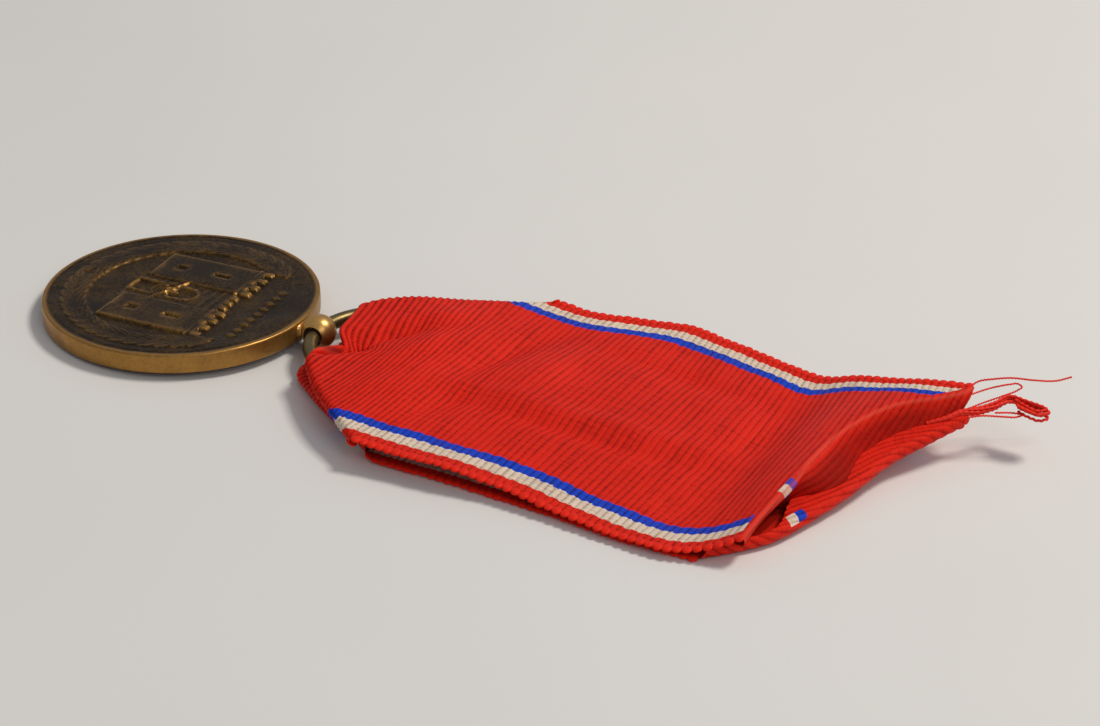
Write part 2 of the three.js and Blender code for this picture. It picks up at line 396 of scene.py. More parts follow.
def branchHeight(x, y, shape, side):
    # a laurel branch that follows the rim, with pairs of leaves along its stem
    angle = np.degrees(np.arctan2(side * y, x))
    radius = np.hypot(x, y)
    height = 0.5 * raised(np.abs(radius - shape["branchRadius"]) - 0.08, 0.2) * (angle > shape["branchEnd"])
    for step in range(shape["leaves"]):
        turn = 176 - (176 - shape["branchEnd"]) * step / (shape["leaves"] - 1)
        for lean in (-1, 1):
            reach = shape["branchRadius"] + lean * 0.55
            turned = math.radians(turn - 2.5 * (lean > 0))
            centre = reach * math.cos(turned), side * reach * math.sin(turned)
            heading = side * (turned - math.pi / 2 - lean * math.radians(24))
            leaf = leafHeight(x, y, *centre, heading, shape["leafLength"], shape["leafWidth"])
            height = np.maximum(height, leaf)
    return height * shape["leafHeight"]


def gateHeight(x, y, shape):
    # a town gate: two towers, a curtain wall between them and an arched way in
    edge, course, stone = shape["edge"], shape["course"], shape["stone"]
    wall = raised(rectangle(x, y, shape["gateFoot"], shape["gateTop"] - 0.5, -3, 3), edge) * shape["wall"]
    body = wall + 0.035 * np.cos(x * 2 * math.pi / 0.95) * (wall > 0.1)
    arch = np.where(
        x < shape["archTop"],
        np.maximum(np.abs(y) - shape["archHalf"], shape["gateFoot"] - x),
        np.hypot(x - shape["archTop"], y) - shape["archHalf"],
    )
    surround = raised(np.abs(arch) - 0.22, 0.2) * 0.12 * (x > shape["gateFoot"])
    body = (body + surround) * (1 - 0.9 * raised(arch + 0.2, edge))
    inner, outer = shape["towerIn"], shape["towerOut"]
    middle, top = (inner + outer) / 2, shape["towerTop"]
    acrossStone = (y + 20 + 0.7 * np.floor(x / course)) % stone
    joint = np.minimum(np.abs((x + 20) % course - 0.52), np.abs(acrossStone - stone / 2))
    for side in (-1, 1):
        box = rectangle(x, side * y, shape["gateFoot"] + 0.4, top - 0.5, inner, outer)
        belly = 0.1 * (1 - ((side * y - middle) / (outer - middle)) ** 2)
        tower = raised(box, edge) * (shape["tower"] + belly)
        tower = tower - 0.03 * raised(joint - 0.05, 0.1) * (tower > 0.2)
        slit = rectangle(x, side * y, 0.8, 2.6, middle - 0.25, middle + 0.25)
        low = rectangle(x, side * y, -3.4, -2.2, middle - 0.4, middle + 0.4)
        tower = tower * (1 - 0.8 * raised(slit, 0.15)) * (1 - 0.6 * raised(low, 0.15))
        ledge = rectangle(x, side * y, top - 1.3, top - 0.95, inner - 0.2, outer + 0.2)
        tower = np.maximum(tower, raised(ledge, 0.15) * (shape["tower"] + 0.12))
        body = np.maximum(body, tower)
        for centre in np.linspace(inner + 0.35, outer - 0.35, shape["merlons"]):
            box = rectangle(x, side * y, top - 0.6, top + 0.35, centre - 0.36, centre + 0.36)
            body = np.maximum(body, raised(box, 0.14) * (shape["tower"] + 0.1))
    for centre in (-1.1, 0.0, 1.1):
        box = rectangle(x, y, shape["gateTop"] - 0.6, shape["gateTop"] + 0.25, centre - 0.34, centre + 0.34)
        body = np.maximum(body, raised(box, 0.14) * (shape["wall"] + 0.12))
    return body


def upperRelief(x, y):
    shape = discShape
    height = gateHeight(x, y, shape)
    for side in (-1, 1):
        height = np.maximum(height, branchHeight(x, y, shape, side))
    # a spray of leaves lies over the archway
    for turn, reach in shape["spray"]:
        heading = math.radians(turn)
        centre = -3.4 + 0.5 * reach * math.cos(heading), -0.3 + 0.5 * reach * math.sin(heading)
        height = np.maximum(height, 0.5 * leafHeight(x, y, *centre, heading, reach, 0.42))
    sword = rectangle(x + 1.6 - 0.42 * (y + 0.4), y, -0.12, 0.12, -3.2, 2.8)
    height = np.maximum(height, raised(sword, 0.16) * 0.46)
    middle = (shape["pellets"] - 1) / 2
    for step in range(shape["pellets"]):
        centre = -0.8 + (step - middle) * shape["pelletPitch"]
        lozenge = np.abs(x - shape["pelletRow"]) * 0.75 + np.abs(y - centre) - 0.42
        height = np.maximum(height, raised(lozenge, 0.3) * 0.16)
    return height


def lowerRelief(x, y):
    # a five-pointed star in a closed wreath
    shape = dict(discShape, branchEnd=4.0, branchRadius=9.2, leaves=20)
    radius, angle = np.hypot(x, y), np.arctan2(y, x)
    part = np.abs((angle + math.pi / 5) % (2 * math.pi / 5) - math.pi / 5)
    edgeDistance = radius * np.cos(part - 0.62) - shape["starRadius"]
    height = np.clip(-edgeDistance / shape["starSlope"], 0, 1) * shape["starHeight"]
    for side in (-1, 1):
        height = np.maximum(height, branchHeight(x, y, shape, side))
    return height


def squareToRound(cells, radius):
    # a square grid pressed into a circle, so that no cell is a thin wedge
    side = np.linspace(-1, 1, cells + 1)
    a, b = np.meshgrid(side, side, indexing="ij")
    wide = np.abs(a) > np.abs(b)
    reach = np.where(wide, a, b)
    with np.errstate(divide="ignore", invalid="ignore"):
        turn = np.where(wide, math.pi / 4 * b / a, math.pi / 2 - math.pi / 4 * a / b)
    turn = np.nan_to_num(turn)
    return reach * np.cos(turn) * radius, reach * np.sin(turn) * radius


def rubbedHeights(height):
    # what stands up from its surroundings is what gets rubbed
    spread = height.copy()
    for _ in range(3):
        near = [np.roll(spread, shift, axis) for axis in (0, 1) for shift in (-2, 2)]
        spread = (spread + sum(near)) / 5
    return np.clip((height - spread) * discShape["rubbing"], 0, 1)


def makeDisc(shape, look):
    cells, half = shape["cells"], shape["thickness"] / 2
    radius = shape["diameter"] / 2
    field = radius - shape["rimWidth"]
    x, y = squareToRound(cells, radius - shape["rimRound"])
    reach = np.hypot(x, y)
    bowl = half - shape["dish"] * (1 - np.clip(reach / field, 0, 1) ** 2)
    rng = np.random.default_rng(7)
    waves = sum(
        0.008 * np.sin(x * fx + y * fy + phase)
        for fx, fy, phase in zip(rng.normal(0, 2.2, 8), rng.normal(0, 2.2, 8), rng.uniform(0, 6, 8))
    )
    keep = 1 - ease(reach, field - 0.3, field)
    raisedUp, raisedDown = upperRelief(x, y) * keep, lowerRelief(x, y) * keep
    rimGroove = 0.08 * np.exp(-(((reach - field) / 0.12) ** 2))
    upper, lower = bowl + raisedUp + waves - rimGroove, bowl + raisedDown + waves - rimGroove
    count = (cells + 1) ** 2
    top = np.stack([x, y, np.minimum(upper, half + 0.02)], -1).reshape(-1, 3)
    bottom = np.stack([x, y, -np.minimum(lower, half + 0.02)], -1).reshape(-1, 3)
    number = np.arange(count).reshape(cells + 1, cells + 1)
    loop = np.concatenate([number[:-1, 0], number[-1, :-1], number[:0:-1, -1], number[0, :0:-1]])
    turns = np.arctan2(y.ravel()[loop], x.ravel()[loop])
    wall = []
    arc = [math.radians(a) for a in (22, 45, 68, 90)]
    inner = radius - shape["rimRound"]
    section = [
        (inner + shape["rimRound"] * math.sin(a), half - shape["rimRound"] * (1 - math.cos(a))) for a in arc
    ]
    section += [(radius + 0.015, 0.3), (radius + 0.02, 0), (radius + 0.015, -0.3)]
    section += [(r, -z) for r, z in reversed(section[:4])]
    for r, z in section:
        dents = 0.012 * np.sin(turns * 23 + z * 3) * np.sin(turns * 7) if abs(z) < half - 0.1 else 0 * turns
        wall.append(np.stack([(r + dents) * np.cos(turns), (r + dents) * np.sin(turns), z + 0 * turns], -1))
    wallPoints = np.concatenate(wall)
    faces = gridFaces(cells + 1, cells + 1)
    topFaces, bottomFaces = faces, faces[:, ::-1] + count
    rings = [loop] + [2 * count + row * len(loop) + np.arange(len(loop)) for row in range(len(section))]
    rings.append(loop + count)
    sides = []
    for upperRing, lowerRing in zip(rings[:-1], rings[1:]):
        following = np.roll(upperRing, -1), np.roll(lowerRing, -1)
        sides.append(np.stack([upperRing, lowerRing, following[1], following[0]], -1))
    rubbed = [rubbedHeights(raisedUp), rubbedHeights(raisedDown)]
    rimRub = ease(reach, radius - 0.62, radius - 0.25)
    rubbed = [np.clip(part + rimRub, 0, 1).ravel() for part in rubbed]
    wallRub = np.full(len(wallPoints), shape["wallRubbed"])
    points = np.concatenate([top, bottom, wallPoints])
    return makePiece(
        "struck_disc",
        onMedal(points, discCentre),
        np.concatenate([topFaces, bottomFaces, *sides]),
        values={"rubbed": np.concatenate([*rubbed, wallRub])},
        material=makeBronze("struck bronze", look),
    )


ballRadius = 1.7
discCentre = ballPlace - uphill * (discShape["diameter"] / 2 + ballRadius)
disc = makeDisc(discShape, discLook)
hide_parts("medal_disc")
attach(disc, "medal")
print("struck disc:", len(disc.data.polygons), "faces")


# The drilled ball.

ballShape = dict(
    radius=ballRadius, bore=0.98, sides=72, seatWidth=1.25, seatHeight=0.72, seatSides=32, squareness=0.6,
    grid=0.055, softness=6,
)
ballLook = dict(
    dark=hexColour(66, 49, 25), bright=hexColour(222, 172, 98), wear=0.55, base=0.3, grain=0.3, uneven=0.8,
    metal=0.85, bump=0.25,
)


def ballSection(radius, bore):
    # the closed outline that is turned about the bore: the mouths, the outside and the bore
    mouth = math.asin(bore / radius)
    deep = radius * math.cos(mouth)
    turns = np.linspace(mouth + 0.1, math.pi - mouth - 0.1, 40)
    section = [(bore + 0.02, deep - 0.07), (bore + 0.07, deep - 0.02)]
    section += [(radius * math.sin(a), radius * math.cos(a)) for a in turns]
    section += [(r, -z) for r, z in reversed(section[:2])]
    return section + [(bore, z) for z in np.linspace(-deep + 0.1, deep - 0.1, 9)]


def seatPoints(shape, lift):
    # the seat that is soldered to the rim spreads a little where it meets the disc
    points, power = [], shape["squareness"]
    for step, x in enumerate(lift):
        spread = 0.82 + 0.24 * (step / (len(lift) - 1)) ** 2
        for a in np.linspace(0, 2 * math.pi, shape["seatSides"] + 1)[:-1]:
            c, s = math.cos(a), math.sin(a)
            wide = math.copysign(abs(c) ** power, c)
            high = math.copysign(abs(s) ** power, s)
            points.append((x, shape["seatWidth"] * spread * wide, shape["seatHeight"] * spread * high))
    return points


def makeBall(shape, look):
    radius, sides, seatSides = shape["radius"], shape["sides"], shape["seatSides"]
    section = ballSection(radius, shape["bore"])
    turns = np.linspace(0, 2 * math.pi, sides + 1)[:-1]
    points = np.array([(r * math.cos(a), z, r * math.sin(a)) for r, z in section for a in turns])
    faces = gridFaces(len(section), sides, wrap=True)
    here, following = np.arange(sides), (np.arange(sides) + 1) % sides
    start, end = len(points), len(points) - sides
    last = np.stack([end + here, here, following, end + following], -1)
    lift = np.linspace(-1.22, -radius - 0.12, 7)
    seat = seatPoints(shape, lift)
    seatFaces = gridFaces(len(lift), seatSides, wrap=True) + start
    seatEnd = start + len(seat)
    caps = [list(range(start + seatSides - 1, start - 1, -1)), list(range(seatEnd - seatSides, seatEnd))]
    points = np.concatenate([points, np.array(seat)])
    allFaces = [list(face) for face in np.concatenate([faces, last, seatFaces])] + caps
    # it stays in millimetres until it is remeshed, since a grid in metres would be too fine
    piece = makePiece("drilled_ball", points / mm, allFaces)
    bpy.context.view_layer.objects.active = piece
    remesh = piece.modifiers.new("even grid", "REMESH")
    remesh.mode, remesh.voxel_size = "VOXEL", shape["grid"]
    smooth = piece.modifiers.new("soften", "SMOOTH")
    smooth.factor, smooth.iterations = 0.5, shape["softness"]
    bakeModifiers(piece)
    mesh = piece.data
    place = np.empty(len(mesh.vertices) * 3)
    mesh.vertices.foreach_get("co", place)
    place = place.reshape(-1, 3)
    # the outside is brighter than the bore, and brighter again towards the top
    rubbed = ease(np.linalg.norm(place, axis=1), radius - 0.35, radius - 0.08)
    rubbed *= 0.4 + 0.6 * ease(place[:, 2], -0.9, 1.2)
    mesh.attributes.new("rubbed", "FLOAT", "POINT").data.foreach_set("value", rubbed.astype(np.float32))
    placed = onMedal(place, ballPlace) * mm
    mesh.vertices.foreach_set("co", placed.ravel())
    mesh.materials.append(makeBronze("worn bronze", look))
    mesh.update()
    return piece


ball = makeBall(ballShape, ballLook)
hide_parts("suspension_ball")
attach(ball, "medal")
print("drilled ball:", len(ball.data.polygons), "faces")


# The wire ring.

ringShape = dict(wire=0.7, gap=0.15, gapAngle=35.0, steps=220, sides=24, chamfer=0.12)
ringLook = dict(
    dark=hexColour(48, 42, 26), bright=hexColour(150, 128, 82), wear=0.45, base=0.14, grain=0.25, uneven=0.8,
    metal=0.85, bump=0.3,
)


def makeRing(shape, look):
    half = math.degrees(shape["gap"] / 2 / ringRadius)
    start, end = shape["gapAngle"] + half, shape["gapAngle"] + 360 - half
    cut = math.degrees(shape["chamfer"] / ringRadius)
    stations = [(start, 0.0), (start, 0.8), (start + cut, 1.0)]
    stations += [(a, 1.0) for a in np.linspace(start + 2 * cut, end - 2 * cut, shape["steps"])]
    stations += [(end - cut, 1.0), (end, 0.8), (end, 0.0)]
    points, rubbed = [], []
    for a, size in stations:
        turn = math.radians(a)
        uneven = 1 + 0.012 * math.sin(turn * 9) + 0.008 * math.sin(turn * 31 + 1)
        for b in np.linspace(0, 2 * math.pi, shape["sides"] + 1)[:-1]:
            reach = ringRadius + shape["wire"] * size * uneven * math.cos(b)
            lift = shape["wire"] * size * math.sin(b)
            points.append((reach * math.cos(turn), reach * math.sin(turn), lift))
            # the top half of the wire is made brighter than its underside
            rubbed.append(0.35 + 0.65 * max(0.0, math.sin(b)))
    faces = gridFaces(len(stations), shape["sides"], wrap=True)[:, ::-1]
    return makePiece(
        "wire_ring", onMedal(points, ringPlace), faces, values={"rubbed": rubbed},
        material=makeBronze("ring wire", look),
    )


ring = makeRing(ringShape, ringLook)
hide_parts("suspension_ring")
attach(ring, "ring")
print("wire ring:", len(ring.data.polygons), "faces")


# One strip of ribbed silk. Its rows are counted in ribs from the bend inside the ring:
# above zero is the front leaf, below zero the back leaf. A place across it runs from
# minus half the width at the near edge to plus half at the far edge.

ribbonShape = dict(
    half=18.0,            # half the width
    body=17.45,           # where the cloth stops and the loops of the selvedge begin
    pitch=0.65,           # one rib
    slant=0.087,          # how far a rib leans ahead for each step across
    bendRibs=3.5,         # half of the bend in the ring
    bendPlace=17.9,       # where the cloth goes down through the hole of the ring
    holeHalf=4.3,         # half the width that it is squeezed into there
    holeSpread=9.0,       # how far across that squeeze goes on
    holeShift=-0.4,       # how far the hole's middle is off the ring's
    holeFrom=-3.2,        # from here to the middle the cloth steps on through the hole,
    holeStep=1.3,         # by this much
    backBulge=0.9,        # how far the back leaf swells towards the disc in the bend
    bendPower=0.8,        # below one it is fuller than round
    ribs=104,             # the longest either leaf can be
    samples=5,            # rows for each rib
    columns=93,
    ribHeight=0.085,
    loopRibs=1.25,        # ribs for each loop of the selvedge
    loopStop=-0.3,        # where the near edge's loops stop, from the lip
    loopProbe=(0.3, 0.2), # how far in and on the cloth's directions are taken
    loopSteep=0.6,        # cloth that stands up more than this has no loops
    loopOut=0.02,         # how far a loop's middle is out from the cloth
    crushRibs=17.0,       # how far from the bend the ribs are squeezed up
    notch=((19.0, -3.7), (3.4, 1.1), 1.5),   # the gather is drawn back here: place, spread, depth
    hemStart=0.5,         # where the stripes of a turned-in end begin, from its outline
    frontBand=2.4,        # how wide a band of the front end shows them
    hemBand=1.1,          # and of the back end
    hemNear=-10.0,        # nearer than this the back end is plain, from hemEarly before its lip
    hemEarly=6.0,
    hemLong=99.0,         # longer than any turned-in end
    bendShade=1.3,         # how much painted shade the cloth gets at the middle of the bend
    lit=-9.0,             # less than any cloth that gets painted shade
)

# Each leaf lies on the table as a strip whose sides are turned under along a near and a far
# fold and whose end is turned in along a lip. Places are from the middle of the disc.
leafShapes = dict(
    front=dict(
        start=13.0, bow=((0, 14, 27, 60, 95), (3.3, 2.8, 0.6, 0.8, 1.2)), bowMiddle=-4.0,
        nearEdge=(
            (18, -21.0), (24, -19.2), (27, -18.6), (31, -18.2), (37, -17.9), (42, -17.6), (48, -18.2),
            (54, -18.9), (59, -19.0), (62, -18.0), (65, -16.9),
        ),
        farEdge=(
            (18, 16.0), (34, 16.5), (38, 16.5), (42, 17.6), (46, 18.2), (51, 17.2), (56, 15.9),
            (61, 14.2), (66, 13.6), (72, 12.9), (77, 12.9),
        ),
        nearFold=(
            (17.4, -5.6), (18.2, -8.0), (19.4, -9.6), (20.9, -11.5), (23.7, -14.3), (28.2, -17.9),
            (31, -20),
        ),
        farFold=(
            (17.2, 0.6), (17.9, 2.6), (19.3, 4.6), (21.6, 6.6), (25.2, 9.3), (28.6, 12.2), (31.0, 14.2),
            (33.2, 16.6), (34.6, 19.5),
        ),
        foldRadius=0.28, flapDrop=1.7,
        lip=(
            (64.6, -22), (64.8, -17.8), (65.3, -13), (66.3, -8.8), (66.6, -4), (67.0, 0), (68.4, 4),
            (70.8, 7.6), (74.0, 9.8), (75.6, 11.2), (76.4, 15),
        ),
        lipRadius=0.3, hemShift=-5.9, hemDrop=0.7,   # its stripes lie 5.9 off those of the leaf
        lipTurn=((-18, -9.5, -5.0, 3, 8, 14), (3.14, 3.1, 1.05, 1.05, 1.15, 1.25)),
        hem=((-18, -9, -5, 4, 10, 14), (2.2, 2.4, 3.5, 3.4, 3.0, 1.4)),
        heights=(
            (17, (3.0, 3.4, 4.2, 4.8, 4.2)),
            (22, (3.3, 3.45, 4.0, 4.4, 3.7)),
            (26, (3.2, 3.7, 4.0, 3.8, 3.1)),
            (31, (2.6, 3.1, 3.5, 2.9, 2.6)),
            (38, (2.2, 2.6, 2.8, 2.4, 2.0)),
            (46, (1.2, 2.1, 2.4, 2.2, 2.2)),
            (55, (0.9, 1.6, 2.1, 2.1, 2.2)),
            (61, (1.1, 1.9, 2.3, 2.5, 2.6)),
            (66, (2.9, 4.2, 4.3, 4.1, 3.8)),
            (71, (4.4, 5.0, 5.6, 5.5, 5.0)),
            (76, (5.5, 6.0, 6.4, 6.2, 6.1)),
        ),
    ),
    back=dict(
        start=11.7, bow=((0, 14, 27, 60, 95), (3.3, 2.6, 0.5, 0.8, 1.2)), bowMiddle=-2.0,
        nearEdge=(
            (18, -16.2), (30, -16.8), (36, -16.9), (42, -17.2), (48, -17.6), (54, -18.3), (60, -18.3),
        ),
        farEdge=(
            (18, 15.6), (34, 16.0), (42, 17.0), (46, 17.4), (51, 16.4), (56, 14.8), (61, 12.8),
            (66, 11.2), (72, 10.6), (77, 10.6),
        ),
        nearFold=(
            (15.6, -3.8), (16.2, -6.0), (17.1, -7.4), (18.5, -8.6), (20.5, -10.3), (24.9, -13.4),
            (28.7, -16.0), (31, -18.5),
        ),
        farFold=((16, 1.6), (18.0, 3.4), (22.0, 6.2), (26, 9.6), (30.0, 13.6), (32, 16.5), (34, 19)),
        foldRadius=0.4, flapDrop=1.0,
        lip=(
            (58, -24), (61.0, -18.6), (63.4, -16.2), (66.4, -12.6), (68.2, -8.5), (70.0, -3.7),
            (72.2, 3.2), (74.6, 7.2), (76.2, 10), (76.8, 14),
        ),
        lipRadius=0.45, hemShift=-7.1, hemDrop=0.3,
        lipTurn=((-18, 18), (3.14, 3.14)), hem=((-18, -10, -7, 18), (1.2, 1.4, 3.2, 3.5)),
        heights=(
            (17, (0.5, 0.5, 0.4, 0.4, 0.4)),
            (30, (0.3, 0.3, 0.2, 0.2, 0.25)),
            (45, (0.2, 0.2, 0.2, 0.2, 0.3)),
            (60, (0.2, 0.2, 0.3, 0.5, 0.8)),
            (68, (0.3, 0.5, 0.9, 1.4, 1.9)),
            (77, (1.4, 1.8, 2.4, 3.2, 3.9)),
        ),
    ),
)

# Soft rises and hollows on the front leaf: place, how far they spread along and across their
# own direction, that direction in degrees, and the height. Then come two faint even ripples:
# the height, how fast they go along x and y, and where they start.
rises = (
    ((19.3, -4.3), (2.3, 1.1), 47, -2.0),
    ((22.6, -0.6), (3.2, 1.0), 44, -1.0),
    ((24.6, 2.2), (2.6, 1.2), 50, -0.4),
    ((18.2, -7.2), (2.0, 1.1), -55, 0.2),
    ((26.6, 5.5), (4.0, 1.5), 60, 0.35),
    ((27.5, 0.0), (6.5, 1.2), 66, 0.4),
    ((33.4, 2.5), (6.5, 1.5), 72, -0.75),
    ((26.5, -8.5), (6.0, 1.8), 55, 0.35),
    ((32.4, -8.2), (4.0, 1.6), 64, -0.42),
    ((38.0, 0.5), (7.0, 1.9), 78, 0.45),
    ((44.0, -6.6), (12.0, 1.2), 2, -0.42),
    ((46.0, -3.6), (12.0, 1.3), 3, 0.3),
    ((50.0, 8.0), (9.0, 1.6), -8, -0.3),
    ((57.5, -12.0), (4.0, 2.4), 70, -0.32),
    ((60.5, 1.0), (9.0, 2.4), 84, -0.75),
)
ripples = ((0.05, 0.55, 0.32, 0.0), (0.04, 0.9, -0.62, 1.3))


def curvePoints(points, steps):
    # the outline through a few points, sampled evenly
    points = np.asarray(points, float)
    travel = np.concatenate([[0], np.cumsum(np.linalg.norm(np.diff(points, axis=0), axis=1))])
    return through(travel, points, np.linspace(0, travel[-1], steps))


def foldOver(place, outline, radius, outside, mostTurn=math.pi, limit=np.inf):
    # cloth beyond the outline rolls over, as far as mostTurn, and goes straight on from there;
    # cloth past the limit is cut off. Returns its place, where its height is taken, how deep it
    # lies, how far past the outline it is and how much was cut off
    curve = curvePoints(outline, 160)
    tangent = np.gradient(curve, axis=0)
    tangent /= np.linalg.norm(tangent, axis=1)[:, None]
    normal = np.stack([tangent[:, 1], -tangent[:, 0]], -1) * outside
    nearest = np.empty(len(place), int)
    for first in range(0, len(place), 4096):
        gaps = place[first:first + 4096, None] - curve[None]
        nearest[first:first + 4096] = np.argmin((gaps**2).sum(-1), axis=1)
    away = normal[nearest]
    past = ((place - curve[nearest]) * away).sum(-1)
    spare = np.maximum(past - limit, 0)
    past, place = past - spare, place - away * spare[:, None]
    beyond = np.maximum(past + radius, 0)
    turn = np.minimum(beyond / radius, mostTurn)
    rest = np.maximum(beyond - mostTurn * radius, 0)
    reach = -radius + radius * np.sin(turn) + rest * np.cos(turn)
    shift = np.where(past > -radius, reach - past, 0)
    folded = place + away * shift[:, None]
    level = folded - away * np.where(past > -radius, np.maximum(reach, 0), 0)[:, None]
    return folded, level, radius * (1 - np.cos(turn)) + rest * np.sin(turn), past, spare


def sheetHeight(leaf, place):
    # the height of a leaf at a place on the table, from rows of five heights across it
    knots = [row[0] for row in leaf["heights"]]
    rows = through(knots, [row[1] for row in leaf["heights"]], place[:, 0])
    stops = np.linspace(-1, 1, 5) * ribbonShape["half"]
    slopes = np.gradient(rows, stops, axis=1)
    step = np.clip(np.searchsorted(stops, place[:, 1]) - 1, 0, 3)
    pick = np.arange(len(place))
    gap = stops[1] - stops[0]
    share = np.clip((place[:, 1] - stops[step]) / gap, 0, 1)
    square, cube = share**2, share**3
    height = (2 * cube - 3 * square + 1) * rows[pick, step] + (3 * square - 2 * cube) * rows[pick, step + 1]
    height += gap * (cube - 2 * square + share) * slopes[pick, step]
    return height + gap * (cube - square) * slopes[pick, step + 1]


def addRises(height, place):
    for middle, (spreadAlong, spreadAcross), turn, rise in rises:
        c, s = math.cos(math.radians(turn)), math.sin(math.radians(turn))
        x, y = (place - middle).T
        away = ((x * c + y * s) / spreadAlong) ** 2 + ((y * c - x * s) / spreadAcross) ** 2
        height = height + rise * np.exp(-away)
    x, y = place.T
    return height + sum(size * np.sin(x * fast + y * slow + start) for size, fast, slow, start in ripples)


def leafPlace(leaf, count, side, front):
    # where the cloth of a leaf lies, count ribs from the bend: flat first, then folded over at
    # its end and under at its sides
    shape = ribbonShape
    along = leaf["start"] + np.maximum(count, shape["bendRibs"]) * shape["pitch"]
    bow = through(*leaf["bow"], count) * (1 - ((side - leaf["bowMiddle"]) / shape["half"]) ** 2)
    x = along + shape["slant"] * side + bow
    near, far = through(*zip(*leaf["nearEdge"]), x), through(*zip(*leaf["farEdge"]), x)
    place = np.stack([x, near + (side / shape["half"] + 1) / 2 * (far - near)], -1)
    mostTurn = through(*leaf["lipTurn"], place[:, 1])
    hem = through(*leaf["hem"], side)
    place, level, hemDeep, past, spare = foldOver(place, leaf["lip"], leaf["lipRadius"], 1, mostTurn, hem)
    place, _, nearDeep, *_ = foldOver(place, leaf["nearFold"], leaf["foldRadius"], 1)
    place, _, farDeep, *_ = foldOver(place, leaf["farFold"], leaf["foldRadius"], -1)
    level = np.where(past[:, None] > -leaf["lipRadius"], level, place)
    height = sheetHeight(leaf, level)
    deep = hemDeep * (1 + leaf["hemDrop"] * ease(mostTurn, 1.2, 3))
    deep = deep + leaf["flapDrop"] * np.maximum(nearDeep, farDeep)
    height = addRises(height, level) - deep if front else height + deep
    return place, height, past, spare


def ribbonPlace(row, side):
    # row counts ribs from the bend, side is the place across; both are flat arrays
    shape = ribbonShape
    row, side = np.asarray(row, float), np.asarray(side, float)
    result, past, spare = np.zeros((len(row), 3)), np.zeros(len(row)), np.zeros(len(row))
    ringMiddle = ringPlace - home
    for name in ("front", "back"):
        mine = (row >= 0) if name == "front" else (row < 0)
        if not mine.any():
            continue
        count, across = np.abs(row[mine]), side[mine]
        folded = leafPlace(leafShapes[name], count, across, name == "front")
        place, height, past[mine], spare[mine] = folded
        # the bend: both leaves narrow down to the same line through the hole of the ring
        swing = np.clip(1 - count / shape["bendRibs"], 0, 1) * math.pi / 2
        holeY = shape["holeHalf"] * np.tanh(across / shape["holeSpread"])
        holeX = shape["bendPlace"] + shape["holeStep"] * ease(holeY, shape["holeFrom"], 0)
        hole = np.stack([holeX, holeY + shape["holeShift"]], -1)
        blend = np.sin(swing)[:, None]
        place = place + (hole - place) * blend
        if name == "back":
            place[:, 0] -= shape["backBulge"] * np.sin(swing * 2)
        else:
            middle, spread, depth = shape["notch"]
            place[:, 0] += depth * np.exp(-(((place - middle) / spread) ** 2).sum(-1))
        height = ringMiddle[2] + (height - ringMiddle[2]) * np.cos(swing) ** shape["bendPower"]
        result[mine] = np.column_stack([place, height])
    return result + home, past, spare


stripeLook = dict(
    # Each darker copy of a stripe colour is painted shade in the grooves between ribs, and also takes random
    # streaks and lint.
    ground=hexColour(232, 40, 24), groundShadeAndStreak=hexColour(146, 14, 8),
    blue=hexColour(10, 72, 205), blueShadeAndStreak=hexColour(2, 18, 84),
    white=hexColour(236, 216, 194), whiteShadeAndStreak=hexColour(158, 130, 108),
    # The dark red next is for faded patches and for painted shade; the pale red after the gloss is a painted
    # highlight along the crease, standing also for worn thread ends.
    fadedRedAndShade=hexColour(120, 8, 6), gloss=hexColour(255, 150, 120), worn=hexColour(238, 96, 78),
    contrast=1.0,         # of the painted shade in the grooves between ribs
    crushContrast=1.5,    # what is added to that painted shade where they are squeezed up
    creaseHighlightShare=0.42,       # how strong the painted highlight along the crease of the front end is; it stands also for worn thread ends
    turnedShade=0.2,      # how much painted shade the cloth beyond it gets
    blueFrom=13.75, whiteFrom=14.9, redFrom=16.2,
)


def makeSilkGroup():
    # ribbed silk: how far up a rib a place lies, which paints shade into the grooves, its streaks and lint,
    # and a height for bumps
    tree, given, result = newGroup(
        "ribbed silk", {"Rib": 0.0, "Side": 0.0, "Contrast": 1.0}, ("Ridge", "Streak", "Lint", "Height")
    )
    place = tree.nodes.new("ShaderNodeTexCoord").outputs["Object"]
    lint = addNode(tree, "ShaderNodeTexNoise", {"Vector": place, "Scale": 2600.0, "Detail": 3.0}).outputs[0]
    wave = calc(tree, "ABSOLUTE", calc(tree, "COSINE", calc(tree, "MULTIPLY", given["Rib"], math.pi)))
    ridge = calc(tree, "POWER", wave, calc(tree, "MULTIPLY", given["Contrast"], 0.5))
    tree.links.new(ridge, result["Ridge"])
    along = addNode(
        tree, "ShaderNodeCombineXYZ",
        {"X": calc(tree, "MULTIPLY", given["Rib"], 0.05), "Y": calc(tree, "MULTIPLY", given["Side"], 5.0)},
    )
    warp = addNode(tree, "ShaderNodeTexNoise", {"Vector": along.outputs[0], "Scale": 1.0, "Detail": 4.0})
    over = addNode(
        tree, "ShaderNodeCombineXYZ",
        {"X": calc(tree, "MULTIPLY", given["Rib"], 0.9), "Y": calc(tree, "MULTIPLY", given["Side"], 0.12)},
    )
    weft = addNode(tree, "ShaderNodeTexNoise", {"Vector": over.outputs[0], "Scale": 1.0, "Detail": 2.0})
    both = calc(tree, "ADD", warp.outputs[0], weft.outputs[0])
    tree.links.new(calc(tree, "MULTIPLY", both, 0.5), result["Streak"])
    tree.links.new(lint, result["Lint"])
    threads = calc(tree, "SINE", calc(tree, "MULTIPLY", given["Side"], 2 * math.pi / 0.2))
    tree.links.new(calc(tree, "ADD", calc(tree, "MULTIPLY", threads, 0.5), lint), result["Height"])
    return tree


silkWeave = makeSilkGroup()


